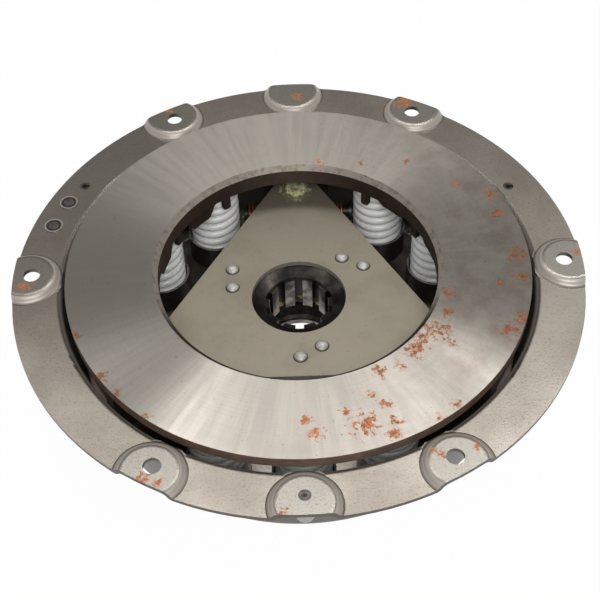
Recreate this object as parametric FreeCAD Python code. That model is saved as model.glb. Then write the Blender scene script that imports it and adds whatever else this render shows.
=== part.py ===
"""Clutch pressure plate with nine coil springs, three release levers and a riveted drive-off hub.

Millimetres. +Z points at the flywheel. The origin is on the axis, in the plane of the six bolt pads.
Azimuth 0 is the front (-Y) and grows towards +X. One lever station is drawn with +X pointing outwards,
+Y along the rim, and is then turned to its azimuth.
"""
import FreeCAD, Part
import math
import os

V = FreeCAD.Vector
UP = V(0, 0, 1)
OUT = V(1, 0, 0)
ALONG = V(0, 1, 0)

# Stations around the axis, in degrees of azimuth
LEVER_AZIMUTHS = (60, 180, 300)
SPRING_GROUP_AZIMUTHS = (0, 120, 240)
SPRING_STEP_ANGLE = 28.5
BOLT_AZIMUTHS = (30, 90, 150, 210, 270, 330)
BARE_PAD_AZIMUTHS = (0, 180)

# Fits
RUNNING = 0.05
SLIDING = 0.4
SEATING = 0.2
NOSE_GAP = 0.3
TINY = 1e-6

# Cover pressing
SHEET = 3.2
WALL_TO_BOLTS = 21.3
BOLTS_TO_RIM = 13.2
PAD_RAISE = 4.8
PAD_BEYOND_BOLTS = 3.7
PAD_RADIUS = 17.5
PAD_SLOPE = 9.0
PAD_SINK = 0.1
BOLT_HOLE_RADIUS = 6.1
COVER_DEPTH = 92.8
RIM_BEND_RADIUS = 1.5
FLOOR_BEND_RADIUS = 6.0
RING_TO_COVER = 4.0
FLOOR_TO_CUP = 6.0
REAR_OPENING_RADIUS = 62.0
POCKET_DEPTH = 3.0
POCKET_WALL = 2.5
POCKET_DRAFT = 1.5

# Pressure ring
RING_FACE_INNER_RADIUS = 105.1
RING_FACE_WIDTH = 62.4
RING_CHAMFER = 3.7
RING_PROUD = 3.2
RING_LIP = 8.5
RING_BODY = 16.4
RING_LIP_OVERHANG = 15.5
RING_TRAVEL = 3.0
DIVIDER_DEPTHS = (12.0, 5.0, 12.0)
DIVIDER_TOP_WIDTH = 30.0
DIVIDER_FOOT_WIDTH = 17.0
DIVIDER_ROUND = 4.0
DIVIDER_SET_BACK = 1.0
DIVIDER_TO_EDGE = 6.0
SPRING_ROOM = 1.0
TOOTH_DEPTH = 13.0
TOOTH_WIDTH = 6.5
TOOTH_THICK = 3.4
TOOTH_ROUND = 2.0

# Springs and the cups they stand in
SPRING_BEHIND_EDGE = 1.5
SPRING_OUTER_RADIUS = 20.2
SPRING_WIRE = 6.8
SPRING_PITCH = 8.2
CUP_CLEARANCE = 0.9
CUP_WALL = 1.6
CUP_BASE = 2.0
CUP_HEIGHT = 25.3

# Lever station, measured outwards from the axis
LUG_PIN_INSET = 33.0
LEVER_SHORT_ARM = 21.0
NOSE_INSET = 2.5
PIVOT_DEPTH = 58.0
NOSE_RADIUS = 4.5
PIVOT_PIN_RADIUS = 5.0
PIVOT_PIN_HALF = 42.5
PIVOT_HEAD_RADIUS = 7.5
PIVOT_HEAD = 2.5
LUG_PIN_RADIUS = 4.5
LEVER_WIDTH = 14.0
LEVER_STEP = 0.5
LEVER_EYE = 8.5
LEVER_BOSS_RADIUS = 10.0
LUG_WIDTH = 30.0
LUG_INNER_WALL = 7.5
LUG_INSET = 3.5
LUG_BELOW_PIN = 8.0
LUG_SLOT_END = 4.0
WINDOW_DROP = 14.0
BRACKET_THICK = 6.0
BRACKET_INSIDE = 20.0
BRACKET_INNER_SIDE = 14.5
BRACKET_OUTER_SIDE = 9.5
BRACKET_CAP = 10.0
BRACKET_FOOT = 14.0
FOOT_RIVET_RADIUS = 3.5
COIL_WIRE = 2.4
COIL_TURNS = 4
COIL_PITCH = 2.8

# Drive plate and its hub
PLATE_DEPTH = 32.3
PLATE_THICK = 4.0
PLATE_MARGIN = 11.5
PLATE_CORNER_MARGIN = 11.0
PLATE_HOLE_STEP = 0.5
PLATE_BOLT_OFFSET = 0.5
PLATE_BOLT_RADIUS = 4.5
PLATE_BOLT_FLATS = 14.0
PLATE_BOLT_HEAD = 5.0
WASHER_THICK = 1.6
WASHER_RADIUS = 8.5
HUB_FLANGE_WIDTH = 28.5
HUB_FLANGE = 6.0
HUB_NECK = 4.0
HUB_TUBE_WALL = 6.1
HUB_MOUTH_RADIUS = 34.5
HUB_MOUTH_DEPTH = 3.2
HUB_LENGTH = 31.7
SPLINE_COUNT = 10
SPLINE_MAJOR_RADIUS = 25.4
SPLINE_DEPTH = 3.4
SPLINE_GROOVE = 6.2
HUB_RIVET_EDGE = 5.7
HUB_RIVET_STEP_IN = 6.9
HUB_RIVET_STEP_ANGLE = 18.0
HUB_RIVET_SHANK = 3.4
HUB_RIVET_HEAD_RADIUS = 5.4
HUB_RIVET_HEAD = 3.0

# Thrust ring that the release bearing pushes
THRUST_OUTER_RADIUS = 47.0
THRUST_HOLE_RADIUS = 26.6
THRUST_LIFT = 0.5
THRUST_THICK = 7.0
THRUST_STEP_RADIUS = 30.0
THRUST_STEP = 2.5
RETAINER_WIRE = 2.0
RETAINER_GAP = 1.0
RETAINER_RISE = 14.0

# Small pieces on the rim
WEIGHT_RIVET_INSET = 1.8
WEIGHT_AZIMUTHS = (253.6, 245.8)
WEIGHT_RIVET_RADIUS = 6.8
WEIGHT_RIVET_HEAD = 0.8
WEIGHT_RIVET_SHANK = 4.5
WEIGHT_THICK = 5.0
WEIGHT_MARGIN = 9.0
ROLL_PIN_INSETS = (2.9, 9.9)
ROLL_PIN_AZIMUTHS = (239.5, 116.5)
ROLL_PIN_RADIUS = 4.0
ROLL_PIN_LENGTH = 12.0
DOWEL_RADIUS = 4.2
DOWEL_INSET = 0.8
DOWEL_TAIL = 20.0
DOWEL_COLLAR_RADIUS = 6.0
DOWEL_POINT = 3.0

# Radii and reaches that follow from the sizes above
RING_OUTER_RADIUS = RING_FACE_INNER_RADIUS + RING_FACE_WIDTH
RING_BORE_RADIUS = RING_FACE_INNER_RADIUS - RING_CHAMFER
RING_BODY_OUTER_RADIUS = RING_OUTER_RADIUS - RING_LIP_OVERHANG
SPRING_CIRCLE_RADIUS = RING_FACE_INNER_RADIUS + SPRING_BEHIND_EDGE + SPRING_OUTER_RADIUS
CUP_INNER_RADIUS = SPRING_OUTER_RADIUS + CUP_CLEARANCE
CUP_OUTER_RADIUS = CUP_INNER_RADIUS + CUP_WALL
FLOOR_RADIUS = SPRING_CIRCLE_RADIUS + CUP_OUTER_RADIUS + FLOOR_TO_CUP
WALL_TOP_RADIUS = RING_OUTER_RADIUS + RING_TO_COVER
BOLT_CIRCLE_RADIUS = WALL_TOP_RADIUS + WALL_TO_BOLTS
RIM_RADIUS = BOLT_CIRCLE_RADIUS + BOLTS_TO_RIM
PAD_CENTRE_RADIUS = BOLT_CIRCLE_RADIUS + PAD_BEYOND_BOLTS
WEIGHT_REACH = BOLT_CIRCLE_RADIUS - WEIGHT_RIVET_INSET
DOWEL_REACH = BOLT_CIRCLE_RADIUS - DOWEL_INSET
LUG_PIN_REACH = RING_OUTER_RADIUS - LUG_PIN_INSET
LUG_INNER_REACH = LUG_PIN_REACH - LUG_INNER_WALL
LUG_OUTER_REACH = RING_OUTER_RADIUS - LUG_INSET
PIVOT_REACH = LUG_PIN_REACH - LEVER_SHORT_ARM
NOSE_REACH = THRUST_OUTER_RADIUS - NOSE_INSET
PLATE_BOLT_REACH = PIVOT_REACH + PLATE_BOLT_OFFSET
PLATE_CORNER_REACH = PLATE_BOLT_REACH + PLATE_CORNER_MARGIN
PLATE_HOLE_RADIUS = HUB_MOUTH_RADIUS + PLATE_HOLE_STEP
HUB_FLANGE_RADIUS = HUB_MOUTH_RADIUS + HUB_FLANGE_WIDTH
HUB_TUBE_RADIUS = SPLINE_MAJOR_RADIUS + HUB_TUBE_WALL
SPLINE_MINOR_RADIUS = SPLINE_MAJOR_RADIUS - SPLINE_DEPTH
PLATE_INRADIUS = HUB_FLANGE_RADIUS + PLATE_MARGIN

# Heights that follow from the sizes above
FLANGE_TOP = -PAD_RAISE
FLANGE_BOTTOM = FLANGE_TOP - SHEET
FLOOR_TOP = -COVER_DEPTH
FLOOR_BOTTOM = FLOOR_TOP - SHEET
RING_BOTTOM = RING_PROUD - RING_BODY
POCKET_FLOOR = FLOOR_TOP - POCKET_DEPTH
CUP_SEAT = POCKET_FLOOR + CUP_BASE
PIVOT_Z = -PIVOT_DEPTH
PLATE_TOP = -PLATE_DEPTH
PLATE_BOTTOM = PLATE_TOP - PLATE_THICK
HUB_BOTTOM = PLATE_BOTTOM - HUB_LENGTH
THRUST_BOTTOM = FLOOR_BOTTOM + THRUST_LIFT
THRUST_TOP = THRUST_BOTTOM + THRUST_THICK
NOSE_Z = THRUST_TOP + NOSE_RADIUS + NOSE_GAP
LUG_BOTTOM = PIVOT_Z - LUG_BELOW_PIN


def block(x0, x1, y0, y1, z0, z1):
    """A rectangular block between two corners."""
    return Part.makeBox(x1 - x0, y1 - y0, z1 - z0, V(x0, y0, z0))


def rod(radius, length, base, axis=UP):
    """A round bar from its base along an axis."""
    return Part.makeCylinder(radius, length, base, axis)


def tube(outer, inner, z0, z1):
    """A plain ring about the main axis."""
    return rod(outer, z1 - z0, V(0, 0, z0)).cut(rod(inner, z1 - z0, V(0, 0, z0)))


def turned(points):
    """A solid of revolution from (radius, height) points."""
    corners = [V(r, 0, z) for r, z in points]
    face = Part.Face(Part.makePolygon(corners + corners[:1]))
    return face.revolve(V(0, 0, 0), UP, 360)


def spot(radius, azimuth, z=0.0):
    """The point at a radius and azimuth."""
    a = math.radians(azimuth)
    return V(radius * math.sin(a), -radius * math.cos(a), z)


def placed(shape, azimuth):
    """A station drawn with +X outwards, turned to its azimuth."""
    copy = shape.copy()
    copy.rotate(V(0, 0, 0), UP, azimuth - 90)
    return copy


def fused(first, others):
    """One solid from several that meet."""
    return first.multiFuse(list(others)).removeSplitter()


def circles_at(shape, radius, z):
    """The full-circle edges of a turned shape at one radius and height."""
    circles = [edge for edge in shape.Edges if isinstance(edge.Curve, Part.Circle)]
    return [edge for edge in circles
            if math.isclose(edge.Curve.Radius, radius) and math.isclose(edge.Curve.Center.z, z)]


def edges_along(shape, direction, z):
    """The straight edges that run in one direction at one height."""
    lines = [edge for edge in shape.Edges if isinstance(edge.Curve, Part.Line)]
    return [edge for edge in lines
            if edge.Curve.Direction.cross(direction).Length < TINY
            and abs(edge.CenterOfMass.z - z) < TINY]


def spring_azimuths():
    """The nine springs stand in three groups of three, between the levers."""
    return [(g + k * SPRING_STEP_ANGLE) % 360 for g in SPRING_GROUP_AZIMUTHS for k in (-1, 0, 1)]


def cover_bowl():
    """The deep pressing: flat rim, sloping wall and floor with a rear opening."""
    slope = (WALL_TOP_RADIUS - FLOOR_RADIUS) / (COVER_DEPTH - PAD_RAISE)
    outer_shift = SHEET * math.sqrt(1 + slope * slope)
    top_outside = WALL_TOP_RADIUS + outer_shift - slope * SHEET
    floor_outside = FLOOR_RADIUS + outer_shift - slope * SHEET
    bowl = turned([
        (RIM_RADIUS, FLANGE_TOP),
        (WALL_TOP_RADIUS, FLANGE_TOP),
        (FLOOR_RADIUS, FLOOR_TOP),
        (REAR_OPENING_RADIUS, FLOOR_TOP),
        (REAR_OPENING_RADIUS, FLOOR_BOTTOM),
        (floor_outside, FLOOR_BOTTOM),
        (top_outside, FLANGE_BOTTOM),
        (RIM_RADIUS, FLANGE_BOTTOM),
    ])
    bends = [
        (WALL_TOP_RADIUS, FLANGE_TOP, RIM_BEND_RADIUS + SHEET),
        (top_outside, FLANGE_BOTTOM, RIM_BEND_RADIUS),
        (floor_outside, FLOOR_BOTTOM, FLOOR_BEND_RADIUS + SHEET),
        (FLOOR_RADIUS, FLOOR_TOP, FLOOR_BEND_RADIUS),
    ]
    for radius, z, bend in bends:
        bowl = bowl.makeFillet(bend, circles_at(bowl, radius, z))
    return bowl


def spring_pocket():
    """A round pocket pressed out under the floor, and the hollow for the foot of a cup."""
    low = POCKET_FLOOR - SHEET + POCKET_DRAFT
    inside_radius = CUP_OUTER_RADIUS + SEATING
    foot_radius = inside_radius + POCKET_WALL
    height = FLOOR_BOTTOM + SHEET / 2 - low
    outside = Part.makeCone(foot_radius, foot_radius + height / 2, height, V(0, 0, low))
    inside = rod(inside_radius, POCKET_DEPTH, V(0, 0, POCKET_FLOOR))
    return outside, inside


def pad_form(grow, drop, low):
    """A raised pad with a soft S-shaped slope, or the hollow pressed under it."""
    edge = PAD_RADIUS + grow
    foot = edge + PAD_SLOPE
    half_slope = PAD_SLOPE / 2
    half_raise = PAD_RAISE / 2 + PAD_SINK
    bend = (half_slope ** 2 + half_raise ** 2) / (2 * half_raise)
    turn = math.asin(half_slope / bend) / 2
    across, down = bend * math.sin(turn), bend * (1 - math.cos(turn))
    middle = V(edge + half_slope, 0, -half_raise - drop)
    crest = V(edge, 0, -drop)
    base = V(foot, 0, -2 * half_raise - drop)
    outline = [
        Part.makeLine(V(0, 0, -drop), crest),
        Part.Arc(crest, V(edge + across, 0, -down - drop), middle).toShape(),
        Part.Arc(middle, V(foot - across, 0, base.z + down), base).toShape(),
        Part.makeLine(base, V(foot, 0, low)),
        Part.makeLine(V(foot, 0, low), V(0, 0, low)),
        Part.makeLine(V(0, 0, low), V(0, 0, -drop)),
    ]
    return Part.Face(Part.Wire(outline)).revolve(V(0, 0, 0), UP, 360)


def cover():
    """The cover with its eight pads, bolt holes, windows for the drive lugs and small holes."""
    shape = cover_bowl()
    rim_band = tube(RIM_RADIUS, WALL_TOP_RADIUS, FLANGE_BOTTOM, 0)
    for azimuth in BOLT_AZIMUTHS + BARE_PAD_AZIMUTHS:
        pad = pad_form(0, 0, FLANGE_BOTTOM).translated(spot(PAD_CENTRE_RADIUS, azimuth))
        shape = shape.fuse(pad.common(rim_band))
    pocket, pocket_hollow = spring_pocket()
    places = [spot(SPRING_CIRCLE_RADIUS, azimuth) for azimuth in spring_azimuths()]
    shape = fused(shape, [pocket.translated(at) for at in places])
    hollow_low = FLANGE_BOTTOM - SHEET
    hollow_band = tube(RIM_RADIUS + SHEET, WALL_TOP_RADIUS + SHEET, hollow_low, 0)
    cuts = [pocket_hollow.translated(at) for at in places]
    for azimuth in BOLT_AZIMUTHS + BARE_PAD_AZIMUTHS:
        hollow = pad_form(-SHEET / 2, SHEET, hollow_low)
        cuts.append(hollow.translated(spot(PAD_CENTRE_RADIUS, azimuth)).common(hollow_band))
    for azimuth in BOLT_AZIMUTHS:
        at = spot(BOLT_CIRCLE_RADIUS, azimuth, FLANGE_BOTTOM)
        cuts.append(rod(BOLT_HOLE_RADIUS, SHEET + PAD_RAISE, at))
    half = LUG_WIDTH / 2 + SLIDING
    low = LUG_BOTTOM - RING_TRAVEL - 4 * SLIDING
    window_top = RING_BOTTOM - WINDOW_DROP
    window = block(LUG_INNER_REACH, RIM_RADIUS, -half, half, low, window_top)
    cuts += [placed(window, azimuth) for azimuth in LEVER_AZIMUTHS]
    cuts += rim_holes()
    cuts += bracket_rivet_holes()
    return shape.cut(cuts).removeSplitter()


def rim_holes():
    """Holes for the balance rivets, the roll pins and the dowel."""
    holes = []
    for azimuth in WEIGHT_AZIMUTHS:
        at = spot(WEIGHT_REACH, azimuth, FLANGE_BOTTOM)
        holes.append(rod(WEIGHT_RIVET_SHANK, SHEET, at))
    for at in roll_pin_places(FLANGE_BOTTOM):
        holes.append(rod(ROLL_PIN_RADIUS, SHEET, at))
    at = spot(DOWEL_REACH, BARE_PAD_AZIMUTHS[0], FLANGE_BOTTOM)
    holes.append(rod(DOWEL_RADIUS, SHEET + PAD_RAISE, at))
    return holes


def foot_rivet_places():
    """Two rivets through each bracket foot."""
    aside = BRACKET_INSIDE + BRACKET_THICK + BRACKET_FOOT / 2
    middle = PIVOT_REACH + (BRACKET_OUTER_SIDE - BRACKET_INNER_SIDE) / 2
    return [(middle, side * aside) for side in (-1, 1)]


def bracket_rivet_holes():
    """Holes through the cover floor under the bracket feet."""
    holes = []
    for x, y in foot_rivet_places():
        hole = rod(FOOT_RIVET_RADIUS, SHEET, V(x, y, FLOOR_BOTTOM))
        holes += [placed(hole, azimuth) for azimuth in LEVER_AZIMUTHS]
    return holes


def pressure_ring():
    """Cast ring with a turned face, spring dividers, spring teeth and three drive lugs."""
    lip_bottom = RING_PROUD - RING_LIP
    shape = turned([
        (RING_FACE_INNER_RADIUS, RING_PROUD),
        (RING_OUTER_RADIUS, RING_PROUD),
        (RING_OUTER_RADIUS, lip_bottom),
        (RING_BODY_OUTER_RADIUS + RING_LIP / 2, lip_bottom),
        (RING_BODY_OUTER_RADIUS, RING_BOTTOM),
        (RING_BORE_RADIUS, RING_BOTTOM),
        (RING_BORE_RADIUS, RING_PROUD - RING_CHAMFER),
    ])
    return fused(shape, spring_dividers() + spring_teeth() + drive_lugs())


def spring_divider(depth):
    """A tapered lump with a round foot between two springs, hollowed to clear them."""
    top = DIVIDER_TOP_WIDTH / 2
    foot = DIVIDER_FOOT_WIDTH / 2
    bottom = RING_BOTTOM - depth
    outer = RING_BODY_OUTER_RADIUS - DIVIDER_TO_EDGE
    outline = [V(0, -top, RING_BOTTOM), V(0, top, RING_BOTTOM), V(0, foot, bottom),
               V(0, -foot, bottom), V(0, -top, RING_BOTTOM)]
    lump = Part.Face(Part.makePolygon(outline)).extrude(V(outer, 0, 0))
    lump = lump.makeFillet(DIVIDER_ROUND, edges_along(lump, OUT, bottom))
    lump = lump.common(tube(outer, RING_BORE_RADIUS + DIVIDER_SET_BACK, bottom, RING_BOTTOM))
    places = [spot(SPRING_CIRCLE_RADIUS, 90 + side * SPRING_STEP_ANGLE / 2, bottom)
              for side in (-1, 1)]
    return lump.cut([rod(SPRING_OUTER_RADIUS + SPRING_ROOM, depth, at) for at in places])


def spring_dividers():
    """Two dividers in each group of three springs."""
    return [placed(spring_divider(depth), group + side * SPRING_STEP_ANGLE / 2)
            for group, depth in zip(SPRING_GROUP_AZIMUTHS, DIVIDER_DEPTHS) for side in (-1, 1)]


def spring_teeth():
    """A small cast tooth with a round foot under the ring in front of each spring."""
    half = TOOTH_WIDTH / 2
    reach = SPRING_CIRCLE_RADIUS - SPRING_OUTER_RADIUS - SEATING
    low = RING_BOTTOM - TOOTH_DEPTH
    tooth = block(0, reach, -half, half, low, RING_BOTTOM)
    tooth = tooth.makeFillet(TOOTH_ROUND, edges_along(tooth, OUT, low))
    tooth = tooth.common(tube(reach, reach - TOOTH_THICK, low, RING_BOTTOM))
    return [placed(tooth, azimuth) for azimuth in spring_azimuths()]


def drive_lugs():
    """Forked lugs that run in the cover windows and carry the lever ends."""
    half = LUG_WIDTH / 2
    slot_half = LEVER_WIDTH / 2 + SLIDING
    slot_end = LUG_PIN_REACH + LEVER_EYE + LUG_SLOT_END
    lug = block(LUG_INNER_REACH, LUG_OUTER_REACH, -half, half, LUG_BOTTOM, RING_BOTTOM)
    root = block(LUG_INNER_REACH, LUG_OUTER_REACH, -half, half, RING_BOTTOM, RING_PROUD - RING_LIP)
    slot_top = PIVOT_Z + LEVER_EYE + RING_TRAVEL + LUG_SLOT_END
    slot = block(LUG_INNER_REACH, slot_end, -slot_half, slot_half, LUG_BOTTOM, slot_top)
    eye = rod(LUG_PIN_RADIUS, LUG_WIDTH, V(LUG_PIN_REACH, -half, PIVOT_Z), ALONG)
    lug = lug.fuse(root).cut([slot, eye])
    return [placed(lug, azimuth) for azimuth in LEVER_AZIMUTHS]


def spring():
    """One compression spring with ground ends, standing on its cup."""
    wire = SPRING_WIRE / 2
    coil_radius = SPRING_OUTER_RADIUS - wire
    length = RING_BOTTOM - CUP_SEAT
    helix = Part.makeHelix(SPRING_PITCH, length, coil_radius)
    helix.translate(V(0, 0, CUP_SEAT))
    pitch_angle = math.atan2(SPRING_PITCH, 2 * math.pi * coil_radius)
    along_wire = V(0, math.cos(pitch_angle), math.sin(pitch_angle))
    section = Part.Wire([Part.makeCircle(wire, V(coil_radius, 0, CUP_SEAT), along_wire)])
    coil = Part.Wire(helix.Edges).makePipeShell([section], True, True)
    slab = rod(SPRING_OUTER_RADIUS + wire, length, V(0, 0, CUP_SEAT))
    return coil.common(slab)


def spring_cup():
    """A pressed cup on the cover floor that holds the foot of a spring."""
    outside = rod(CUP_OUTER_RADIUS, CUP_HEIGHT, V(0, 0, POCKET_FLOOR))
    inside = rod(CUP_INNER_RADIUS, CUP_HEIGHT, V(0, 0, CUP_SEAT))
    return outside.cut(inside)


def lever():
    """A forged lever: an eye on the lug pin, a wide boss on the pivot and a round nose."""
    half = LEVER_WIDTH / 2
    boss_half = BRACKET_INSIDE - SLIDING
    stations = [
        (LUG_PIN_REACH, PIVOT_Z, LEVER_EYE - LEVER_STEP),
        (PIVOT_REACH, PIVOT_Z, LEVER_BOSS_RADIUS - LEVER_STEP),
        (NOSE_REACH, NOSE_Z, NOSE_RADIUS - LEVER_STEP),
    ]
    upper = [V(x, -half, z + r) for x, z, r in stations]
    lower = [V(x, -half, z - r) for x, z, r in reversed(stations)]
    web = Part.Face(Part.makePolygon(upper + lower + upper[:1])).extrude(V(0, LEVER_WIDTH, 0))
    nose = rod(NOSE_RADIUS, LEVER_WIDTH, V(NOSE_REACH, -half, NOSE_Z), ALONG)
    eye = rod(LEVER_EYE, LEVER_WIDTH, V(LUG_PIN_REACH, -half, PIVOT_Z), ALONG)
    boss = rod(LEVER_BOSS_RADIUS, 2 * boss_half, V(PIVOT_REACH, -boss_half, PIVOT_Z), ALONG)
    body = fused(web, [nose, eye, boss])
    pivot_hole = rod(PIVOT_PIN_RADIUS + RUNNING, 2 * boss_half,
                     V(PIVOT_REACH, -boss_half, PIVOT_Z), ALONG)
    play = SLIDING / 2
    eye_radius = LUG_PIN_RADIUS + play
    slot = block(LUG_PIN_REACH - play, LUG_PIN_REACH + play, -half, half,
                 PIVOT_Z - eye_radius, PIVOT_Z + eye_radius)
    slot = slot.multiFuse([rod(eye_radius, LEVER_WIDTH, V(x, -half, PIVOT_Z), ALONG)
                           for x in (LUG_PIN_REACH - play, LUG_PIN_REACH + play)])
    return body.cut([pivot_hole, slot])


def bracket():
    """A riveted stirrup that holds the pivot pin and carries a corner of the drive plate."""
    inner = BRACKET_INSIDE
    outer = BRACKET_INSIDE + BRACKET_THICK
    x0 = PIVOT_REACH - BRACKET_INNER_SIDE
    x1 = PIVOT_REACH + BRACKET_OUTER_SIDE
    cheeks = [block(x0, x1, min(s * inner, s * outer), max(s * inner, s * outer),
                    FLOOR_TOP, PLATE_BOTTOM) for s in (-1, 1)]
    feet = [block(x0, x1, min(s * outer, s * (outer + BRACKET_FOOT)),
                  max(s * outer, s * (outer + BRACKET_FOOT)),
                  FLOOR_TOP, FLOOR_TOP + BRACKET_THICK) for s in (-1, 1)]
    cap = block(x0, x1, -outer, outer, PLATE_BOTTOM - BRACKET_CAP, PLATE_BOTTOM)
    shape = fused(cap, cheeks + feet)
    holes = [rod(PIVOT_PIN_RADIUS, 2 * outer, V(PIVOT_REACH, -outer, PIVOT_Z), ALONG)]
    holes.append(rod(PLATE_BOLT_RADIUS, BRACKET_CAP,
                     V(PLATE_BOLT_REACH, 0, PLATE_BOTTOM - BRACKET_CAP)))
    for x, y in foot_rivet_places():
        holes.append(rod(FOOT_RIVET_RADIUS, BRACKET_THICK, V(x, y, FLOOR_TOP)))
    return shape.cut(holes)


def pivot_pin():
    """A headed pin through both bracket cheeks and the lever boss."""
    full = 2 * PIVOT_PIN_HALF
    pin = rod(PIVOT_PIN_RADIUS, full, V(PIVOT_REACH, -PIVOT_PIN_HALF, PIVOT_Z), ALONG)
    head = rod(PIVOT_HEAD_RADIUS, PIVOT_HEAD,
               V(PIVOT_REACH, -PIVOT_PIN_HALF - PIVOT_HEAD, PIVOT_Z), ALONG)
    return pin.fuse(head).removeSplitter()


def pin_clip():
    """A plain clip ring on the far end of the pivot pin."""
    at = V(PIVOT_REACH, PIVOT_PIN_HALF - PIVOT_HEAD, PIVOT_Z)
    ring = rod(PIVOT_HEAD_RADIUS, PIVOT_HEAD / 2, at, ALONG)
    return ring.cut(rod(PIVOT_PIN_RADIUS, PIVOT_HEAD / 2, at, ALONG))


def lug_pin():
    """A pin across the drive lug that the lever eye pulls on."""
    return rod(LUG_PIN_RADIUS, LUG_WIDTH, V(LUG_PIN_REACH, -LUG_WIDTH / 2, PIVOT_Z), ALONG)


def lever_coils():
    """Two small coils round the pivot pin that stop the lever from rattling."""
    wire = COIL_WIRE / 2
    coil_radius = PIVOT_PIN_RADIUS + SEATING + wire
    height = COIL_TURNS * COIL_PITCH
    pitch_angle = math.atan2(COIL_PITCH, 2 * math.pi * coil_radius)
    along_wire = V(0, math.cos(pitch_angle), math.sin(pitch_angle))
    helix = Part.makeHelix(COIL_PITCH, height, coil_radius)
    section = Part.Wire([Part.makeCircle(wire, V(coil_radius, 0, 0), along_wire)])
    coil = Part.Wire(helix.Edges).makePipeShell([section], True, True)
    start = BRACKET_INSIDE + BRACKET_THICK + wire + SEATING
    coils = []
    for side in (-1, 1):
        one = coil.copy()
        one.rotate(V(0, 0, 0), OUT, -90 * side)
        one.translate(V(PIVOT_REACH, side * start, PIVOT_Z))
        coils.append(one)
    return Part.makeCompound(coils)


def foot_rivets():
    """Rivets from the bracket feet through the cover floor."""
    rivets = []
    head = FOOT_RIVET_RADIUS / 2
    for x, y in foot_rivet_places():
        shank = rod(FOOT_RIVET_RADIUS, SHEET + BRACKET_THICK, V(x, y, FLOOR_BOTTOM))
        top = rod(2 * FOOT_RIVET_RADIUS, head, V(x, y, FLOOR_TOP + BRACKET_THICK))
        tail = rod(FOOT_RIVET_RADIUS + head, head, V(x, y, FLOOR_BOTTOM - head))
        rivets.append(fused(shank, [top, tail]))
    return [placed(rivet, azimuth) for azimuth in LEVER_AZIMUTHS for rivet in rivets]


def drive_plate():
    """Three-cornered plate, bolted to the brackets and riveted to the hub."""
    corner = 2 * PLATE_INRADIUS
    points = [spot(corner, azimuth, PLATE_BOTTOM) for azimuth in LEVER_AZIMUTHS]
    plate = Part.Face(Part.makePolygon(points + points[:1])).extrude(V(0, 0, PLATE_THICK))
    plate = plate.common(rod(PLATE_CORNER_REACH, PLATE_THICK, V(0, 0, PLATE_BOTTOM)))
    holes = [rod(PLATE_HOLE_RADIUS, PLATE_THICK, V(0, 0, PLATE_BOTTOM))]
    holes += [rod(PLATE_BOLT_RADIUS, PLATE_THICK, spot(PLATE_BOLT_REACH, a, PLATE_BOTTOM))
              for a in LEVER_AZIMUTHS]
    holes += [rod(HUB_RIVET_SHANK, PLATE_THICK, at) for at in hub_rivet_places(PLATE_BOTTOM)]
    return plate.cut(holes)


def hub_rivet_places(z):
    """Three pairs of rivets round the hub."""
    outer = HUB_FLANGE_RADIUS - HUB_RIVET_EDGE
    pair = ((outer, 0), (outer - HUB_RIVET_STEP_IN, HUB_RIVET_STEP_ANGLE))
    return [spot(radius, group + turn, z)
            for group in SPRING_GROUP_AZIMUTHS for radius, turn in pair]


def hub():
    """Flanged hub under the plate, with a tapered mouth and straight-sided splines."""
    flange_bottom = PLATE_BOTTOM - HUB_FLANGE
    spline_top = PLATE_BOTTOM - HUB_MOUTH_DEPTH
    shape = turned([
        (HUB_MOUTH_RADIUS, PLATE_BOTTOM),
        (HUB_FLANGE_RADIUS, PLATE_BOTTOM),
        (HUB_FLANGE_RADIUS, flange_bottom),
        (HUB_MOUTH_RADIUS + HUB_NECK, flange_bottom),
        (HUB_TUBE_RADIUS, spline_top - HUB_FLANGE),
        (HUB_TUBE_RADIUS, HUB_BOTTOM),
        (SPLINE_MINOR_RADIUS, HUB_BOTTOM),
        (SPLINE_MINOR_RADIUS, spline_top),
        (SPLINE_MAJOR_RADIUS, spline_top),
    ])
    half = SPLINE_GROOVE / 2
    length = spline_top - HUB_BOTTOM
    groove = block(0, SPLINE_MAJOR_RADIUS + half, -half, half, HUB_BOTTOM, spline_top)
    groove = groove.common(rod(SPLINE_MAJOR_RADIUS, length, V(0, 0, HUB_BOTTOM)))
    step = 360 / SPLINE_COUNT
    cuts = [placed(groove, 180 + k * step) for k in range(SPLINE_COUNT)]
    cuts += [rod(HUB_RIVET_SHANK, HUB_FLANGE, at) for at in hub_rivet_places(flange_bottom)]
    return shape.cut(cuts)


def hub_rivets():
    """Domed rivets through the plate and the hub flange."""
    bottom = PLATE_BOTTOM - HUB_FLANGE
    ball = (HUB_RIVET_HEAD_RADIUS ** 2 + HUB_RIVET_HEAD ** 2) / (2 * HUB_RIVET_HEAD)
    rivets = []
    for at in hub_rivet_places(bottom):
        shank = rod(HUB_RIVET_SHANK, PLATE_THICK + HUB_FLANGE, at)
        dome = Part.makeSphere(ball, V(at.x, at.y, PLATE_TOP + HUB_RIVET_HEAD - ball))
        dome = dome.common(rod(ball, HUB_RIVET_HEAD, V(at.x, at.y, PLATE_TOP)))
        tail = rod(HUB_RIVET_HEAD_RADIUS, HUB_RIVET_HEAD / 2,
                   V(at.x, at.y, bottom - HUB_RIVET_HEAD / 2))
        rivets.append(fused(shank, [dome, tail]))
    return rivets


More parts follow.
